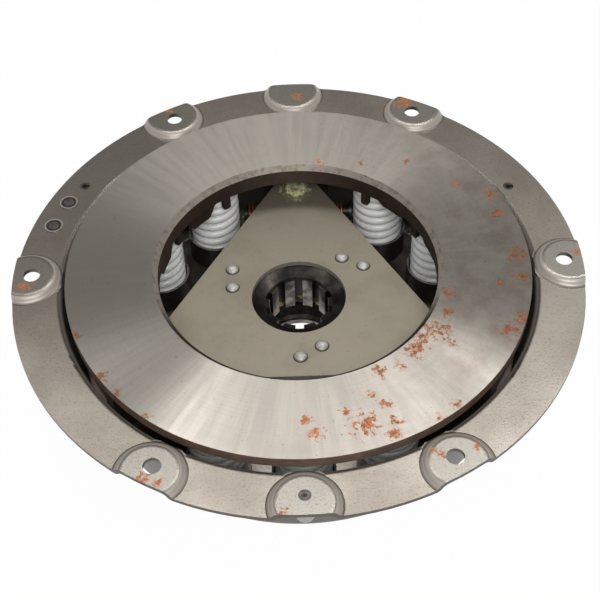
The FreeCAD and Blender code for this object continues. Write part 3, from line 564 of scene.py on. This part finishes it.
def plate_finish():
    """Smooth satin plate with faint stains, bright cut edges and paint splashed at its back corner."""
    f = Finish("plate_satin_steel")
    look = PLATE
    cloud = f.noise(*look["cloud"])
    colour = f.mix(f.span(cloud, *look["cloud_tone"]), PLATE_STEEL, PLATE_STAIN)
    colour = f.mix(f.span(f.noise(*look["speck"]), *look["speck_tone"]), colour, PIN_STEEL)
    ragged = f.times(f.noise(*look["splash"]), look["splash_size"])
    splash = f.plus(ragged, f.near((PAINT_SPOT,), PAINT_Z))
    colour = f.mix(f.span(splash, *look["splash_tone"]), colour, PAINT_MARK)
    level = f.calc("ABSOLUTE", f.normal_up())
    colour = f.mix(f.span(level, *CUT_EDGE), colour, PLATE_EDGE)
    f.bump(f.noise(*look["grain"]), *look["bump"])
    return f.set(colour=colour, metallic=look["metallic"], roughness=f.span(cloud, *look["roughness"]))


def enamel_finish():
    """White spring enamel, dirty in patches."""
    f = Finish("spring_white_enamel")
    look = SPRING
    colour = f.mix(f.span(f.noise(*look["dirt"]), *look["dirt_tone"]), ENAMEL, ENAMEL_DIRT)
    f.bump(f.noise(*look["grain"]), *look["bump"])
    return f.set(colour=colour, metallic=0.0, roughness=look["roughness"], coat=look["coat"],
                 coat_roughness=look["coat_roughness"])


def plain_metal(name, bright, dark, metallic, roughness, scale):
    """A plain metal finish with mottling, a fine grain and a little bump."""
    f = Finish(name)
    look = PLAIN
    cloud = f.noise(scale, *look["octaves"])
    grain = f.noise(scale * look["grain_finer"], *look["grain_octaves"])
    f.bump(f.plus(cloud, grain), *look["bump"])
    swing = look["roughness_swing"]
    rough = f.span(grain, *look["grain_range"], roughness - swing, roughness + swing)
    return f.set(colour=f.mix(f.span(cloud, *look["tone"]), dark, bright), metallic=metallic,
                 roughness=rough)


def bolt_finish():
    """Grey bolts with splashes of yellow-green paint on the back one."""
    f = Finish("bolt_with_paint")
    look = BOLT
    steel = f.mix(f.noise(*look["cloud"]), PIN_STEEL, RIVET_STEEL)
    splash = f.span(f.noise(*look["splash"]), *look["splash_tone"])
    dab = f.times(f.span(f.xyz()[1], *PAINTED_BOLT_Y), splash)
    return f.set(colour=f.mix(dab, steel, PAINT_MARK), metallic=look["metallic"],
                 roughness=look["roughness"])


def head_finish(name, heads, height, groove_at, rim_at):
    """Flush heads with a pressed groove and a worn rim."""
    f = Finish(name)
    look = HEAD
    out = f.near(heads, height)
    cloud = f.noise(*look["cloud"])
    colour = f.mix(f.span(cloud, *look["tone"]), SLUG_STEEL, PIN_STEEL)
    inner, outer = groove_at
    blend = look["groove_blend"]
    groove = f.times(f.span(out, inner - blend, inner), f.span(out, outer + blend, outer))
    colour = f.mix(f.times(groove, look["groove_strength"]), colour, OILY_DARK)
    colour = f.mix(f.span(out, *rim_at, *look["rim_strength"]), colour, RIVET_STEEL)
    f.bump(f.calc("SUBTRACT", cloud, f.times(groove, look["groove_depth"])), *look["bump"])
    return f.set(colour=colour, metallic=look["metallic"], roughness=look["roughness"])


def oily_finish():
    """The hub's dark oiled steel, smooth and shiny, with a painted highlight on the tooth tips and amber
    grease at the splines' lower ends.
    """
    f = Finish("hub_oily_steel")
    look = HUB
    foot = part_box("drive_hub")[0].z
    cloud = f.noise(*look["cloud"])
    colour = f.mix(f.span(cloud, *look["tone"]), OILY_DARK, OILY_STEEL)
    # Painted highlight: the spline tooth tips are painted lighter
    worn = f.span(cloud, *look["tip_highlight_strength"])
    tip = f.times(f.span(f.radius(), *TOOTH_TIP_HIGHLIGHT, 1.0, 0.0), worn)
    colour = f.mix(tip, colour, SPLINE_STEEL)
    low = f.span(f.xyz()[2], foot + GREASE_HEIGHT, foot + GREASE_HEIGHT / 2)
    grease = f.times(f.span(f.noise(*look["grease"]), *look["grease_tone"]), low)
    colour = f.mix(grease, colour, OIL_AMBER)
    f.bump(f.noise(*look["grain"]), *look["bump"])
    return f.set(colour=colour, metallic=look["metallic"], specular=look["specular"],
                 roughness=f.span(cloud, *look["roughness"]))


def cup_finish():
    """Black paint on the spring cups, worn to the steel at their open ends."""
    f = Finish("cup_black_paint")
    look = CUP
    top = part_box("spring_cup_1")[1].z
    cloud = f.noise(*look["cloud"])
    colour = f.mix(f.span(cloud, *look["tone"]), FORGED_BLACK, CUP_BLACK)
    worn = f.span(f.noise(*look["wear"]), *look["wear_tone"])
    edge = f.times(f.span(f.xyz()[2], top - CUP_EDGE, top - CUP_EDGE / 3), worn)
    colour = f.mix(edge, colour, CUP_RIM)
    f.bump(cloud, *look["bump"])
    return f.set(colour=colour, metallic=0.0, roughness=f.span(cloud, *look["roughness"]))


def dome_finish():
    """Matte rivet domes, dark where the dome meets the plate."""
    f = Finish("rivet_dull_steel")
    look = DOME
    cloud = f.noise(*look["cloud"])
    colour = f.mix(f.span(cloud, *look["tone"]), RIVET_STEEL, PIN_STEEL)
    colour = f.mix(f.span(f.normal_up(), *look["shadow_level"]), colour, RIVET_SHADOW)
    f.bump(cloud, *look["bump"])
    return f.set(colour=colour, metallic=look["metallic"], roughness=look["roughness"])


def dress(materials):
    """Gives each CAD node its finish."""
    for name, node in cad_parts.items():
        stem = name.rstrip("0123456789").rstrip("_")
        node.data.materials.clear()
        node.data.materials.append(materials[stem])


def make_springs(enamel):
    """The pressure springs as smooth-shaded copies of the CAD nodes, fixed to the housing."""
    for number in range(1, SPRING_COUNT + 1):
        node = "pressure_spring_%d" % number
        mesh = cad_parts[node].data.copy()
        merged = bmesh.new()
        merged.from_mesh(mesh)
        bmesh.ops.remove_doubles(merged, verts=merged.verts, dist=SAME_PLACE)
        merged.to_mesh(mesh)
        merged.free()
        mesh.shade_smooth()
        mesh.set_sharp_from_angle(angle=SMOOTH_UP_TO)
        mesh.materials.clear()
        mesh.materials.append(enamel)
        coil = bpy.data.objects.new("white_spring_%d" % number, mesh)
        bpy.context.scene.collection.objects.link(coil)
        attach(coil, "housing")
        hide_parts(node)
        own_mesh(coil)


def make_camera():
    """The camera that took the photograph."""
    tilt = math.radians(CAMERA_TILT)
    roll = math.radians(CAMERA_ROLL)
    forward = Vector((0.0, math.cos(tilt), -math.sin(tilt)))
    right = Vector((1.0, 0.0, 0.0))
    up = Vector((0.0, math.sin(tilt), math.cos(tilt)))
    across = right * math.cos(roll) + up * math.sin(roll)
    upward = up * math.cos(roll) - right * math.sin(roll)
    turn = Matrix((across, upward, -forward)).transposed().to_4x4()
    data = bpy.data.cameras.new("photo_camera")
    data.lens = CAMERA_LENS
    data.sensor_width = SENSOR
    camera = bpy.data.objects.new("photo_camera", data)
    camera.matrix_world = Matrix.Translation(CAMERA_AT) @ turn
    bpy.context.scene.collection.objects.link(camera)
    bpy.context.scene.camera = camera


def make_lamps():
    """Soft boxes that all face the middle of the ring."""
    for name, lamp in LAMPS.items():
        data = bpy.data.lights.new(name, "AREA")
        data.shape = "RECTANGLE"
        data.size, data.size_y = lamp["size"]
        data.energy = lamp["watts"]
        light = bpy.data.objects.new(name, data)
        light.location = lamp["at"]
        light.rotation_euler = (LAMP_TARGET - light.location).to_track_quat("-Z", "Y").to_euler()
        bpy.context.scene.collection.objects.link(light)


def paper_finish():
    """White paper, which lamps and shadows fall on and which looks white itself."""
    f = Finish("white_paper")
    f.set(colour=FLOOR_PAPER, roughness=FLOOR_ROUGHNESS)
    path = f.add("ShaderNodeLightPath")
    glow = f.add("ShaderNodeEmission")
    glow.inputs["Color"].default_value = WHITE
    blend = f.add("ShaderNodeMixShader")
    seen = f.plus(path.outputs["Is Camera Ray"], path.outputs["Is Glossy Ray"])
    seen = f.calc("ADD", seen, path.outputs["Is Transmission Ray"], clamp=True)
    f.put(blend.inputs[0], f.times(seen, FLOOR_GLOW))
    f.tree.links.new(f.shader.outputs[0], blend.inputs[1])
    f.tree.links.new(glow.outputs[0], blend.inputs[2])
    f.tree.links.new(blend.outputs[0], f.tree.nodes["Material Output"].inputs["Surface"])
    return f.material


def make_surroundings(floor_z):
    """A plain grey sky and a white floor, which keeps the clutch's shadow."""
    world = bpy.data.worlds.new("studio")
    world.use_nodes = True
    background = world.node_tree.nodes["Background"]
    background.inputs["Color"].default_value = WHITE
    background.inputs["Strength"].default_value = SKY_LEVEL
    bpy.context.scene.world = world
    half = FLOOR_HALF
    mesh = bpy.data.meshes.new("floor")
    corners = [(-half, -half, floor_z), (half, -half, floor_z), (half, half, floor_z), (-half, half, floor_z)]
    mesh.from_pydata(corners, [], [(0, 1, 2, 3)])
    mesh.materials.append(paper_finish())
    floor = bpy.data.objects.new("floor", mesh)
    bpy.context.scene.collection.objects.link(floor)
    floor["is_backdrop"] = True


def main():
    low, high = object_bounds()
    metals = {name: plain_metal(name, *values) for name, values in PLAIN_METALS.items()}
    domes = dome_finish()
    cover = cover_finish()
    bolts = bolt_finish()
    enamel = enamel_finish()
    dress({
        "cover": cover,
        "pressure_ring": ring_finish(),
        "pressure_spring": enamel,
        "spring_cup": cup_finish(),
        "release_lever": metals["forged_black_iron"],
        "lever_bracket": metals["forged_black_iron"],
        "pivot_pin": metals["pin_dark_steel"],
        "pivot_clips": metals["pin_dark_steel"],
        "lug_pin": metals["pin_dark_steel"],
        "lever_coils": metals["copper_wire"],
        "thrust_retainer": metals["pin_dark_steel"],
        "plate_bolts": bolts,
        "plate_washers": bolts,
        "bracket_rivets": domes,
        "drive_plate": plate_finish(),
        "drive_hub": oily_finish(),
        "hub_rivets": domes,
        "thrust_ring": metals["ring_machined_steel"],
        "balance_weight": cover,
        "balance_rivets": head_finish("rivet_pressed_head", RIVET_HEADS, RIVET_HEAD_Z,
                                      RIVET_GROOVE, RIVET_RIM),
        "roll_pins": metals["rivet_dark_steel"],
        "rim_dowel": head_finish("dowel_dimpled_end", DOWEL_END, 0.0, DOWEL_DIMPLE, DOWEL_RIM),
    })
    make_springs(enamel)
    make_camera()
    make_lamps()
    make_surroundings(low.z)
    bpy.context.scene.view_settings.view_transform = "Standard"
    low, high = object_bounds()


main()
